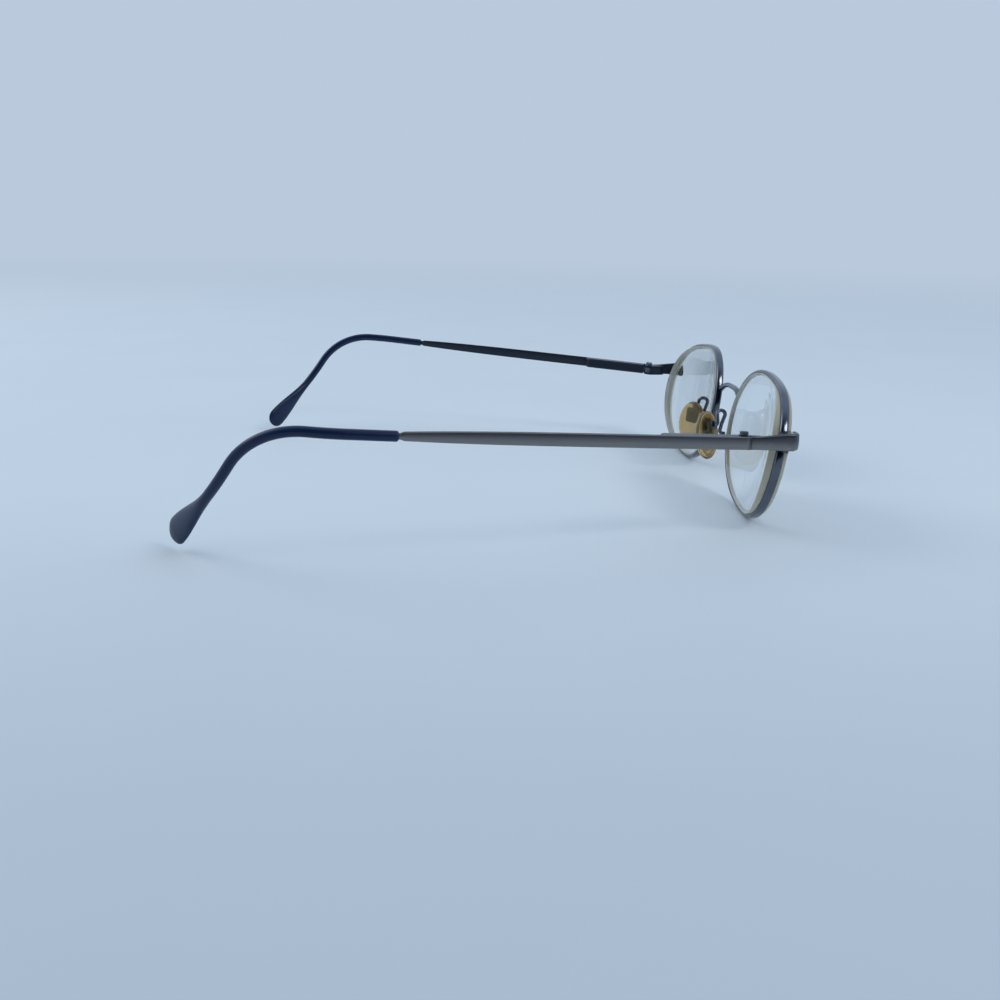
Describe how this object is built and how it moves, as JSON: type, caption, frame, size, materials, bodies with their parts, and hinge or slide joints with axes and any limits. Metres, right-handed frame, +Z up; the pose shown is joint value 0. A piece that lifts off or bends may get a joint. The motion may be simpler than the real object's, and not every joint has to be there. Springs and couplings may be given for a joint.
{
  "type": "eyeglasses",
  "caption": "Metal full-rim eyeglasses with spring-hinged temples that fold, clear meniscus lenses, rocking nose pads on bent wire arms and dark plastic ear tips.",
  "frame": {"origin": "on the table, under the middle of the box of the open eyeglasses, which stand on the bottoms of the rims and the ends of the temple tips", "axes": "+X is the width, towards the wearer's left; the lenses face -Y and the temples run back along +Y; +Z is up"},
  "size_m": [0.1674, 0.1448, 0.0362],
  "materials": {
    "rim_metal": "polished gunmetal plating",
    "bar_metal": "satin gunmetal plating",
    "screw_steel": "plain dark steel",
    "lens": "clear and polished, with a ground edge",
    "tip_plastic": "dark navy, satin gloss",
    "pad_silicone": "translucent, aged amber"
  },
  "bodies": {
    "front": {"bridge": "rim_metal", "left_rim": "rim_metal", "left_lens": "lens", "left_rim_lock_upper": "rim_metal", "left_rim_lock_lower": "rim_metal", "left_rim_lock_screw": "screw_steel", "left_endpiece": "bar_metal", "left_hinge_leaf": "bar_metal", "left_hinge_screw": "screw_steel", "left_pad_arm": "rim_metal", "left_pad_box": "rim_metal", "left_pad_screw": "screw_steel", "right_rim": "rim_metal", "right_lens": "lens", "right_rim_lock_upper": "rim_metal", "right_rim_lock_lower": "rim_metal", "right_rim_lock_screw": "screw_steel", "right_endpiece": "bar_metal", "right_hinge_leaf": "bar_metal", "right_hinge_screw": "screw_steel", "right_pad_arm": "rim_metal", "right_pad_box": "rim_metal", "right_pad_screw": "screw_steel"},
    "left_hinge_arm": {"left_spring_plunger": "screw_steel", "left_spring_stop": "screw_steel"},
    "left_temple": {"left_temple_bar": "bar_metal", "left_spring_housing": "bar_metal", "left_spring": "screw_steel", "left_temple_tip": "tip_plastic"},
    "left_nose_pad": {"left_nose_pad": "pad_silicone", "left_pad_insert": "screw_steel"},
    "right_hinge_arm": {"right_spring_plunger": "screw_steel", "right_spring_stop": "screw_steel"},
    "right_temple": {"right_temple_bar": "bar_metal", "right_spring_housing": "bar_metal", "right_spring": "screw_steel", "right_temple_tip": "tip_plastic"},
    "right_nose_pad": {"right_nose_pad": "pad_silicone", "right_pad_insert": "screw_steel"}
  },
  "joints": [
    {"name": "left_temple_fold", "type": "hinge", "parent": "front", "child": "left_hinge_arm", "pos_m": [0.05726, -0.05775, 0.02408], "axis": [-0.084, -0.0464, 0.9954], "range_deg": [-4.5, 98]},
    {"name": "left_spring_travel", "type": "slide", "parent": "left_hinge_arm", "child": "left_temple", "axis": [0.2515, 0.9656, 0.0663], "range_m": [0, 0.0008], "stiffness_N_per_m": 900, "springref_m": -0.001, "deforming": ["left_spring"]},
    {"name": "left_pad_rock", "type": "hinge", "parent": "front", "child": "left_nose_pad", "pos_m": [0.01013, -0.06282, 0.01841], "axis": [-0.4334, -0.8914, -0.1325], "range_deg": [-10, 10]},
    {"name": "right_temple_fold", "type": "hinge", "parent": "front", "child": "right_hinge_arm", "pos_m": [-0.05726, -0.05775, 0.02408], "axis": [-0.084, 0.0464, -0.9954], "range_deg": [-4.5, 88]},
    {"name": "right_spring_travel", "type": "slide", "parent": "right_hinge_arm", "child": "right_temple", "axis": [-0.2515, 0.9656, 0.0663], "range_m": [0, 0.0008], "stiffness_N_per_m": 900, "springref_m": -0.001, "deforming": ["right_spring"]},
    {"name": "right_pad_rock", "type": "hinge", "parent": "front", "child": "right_nose_pad", "pos_m": [-0.01013, -0.06282, 0.01841], "axis": [-0.4334, 0.8914, 0.1325], "range_deg": [-10, 10]}
  ]
}
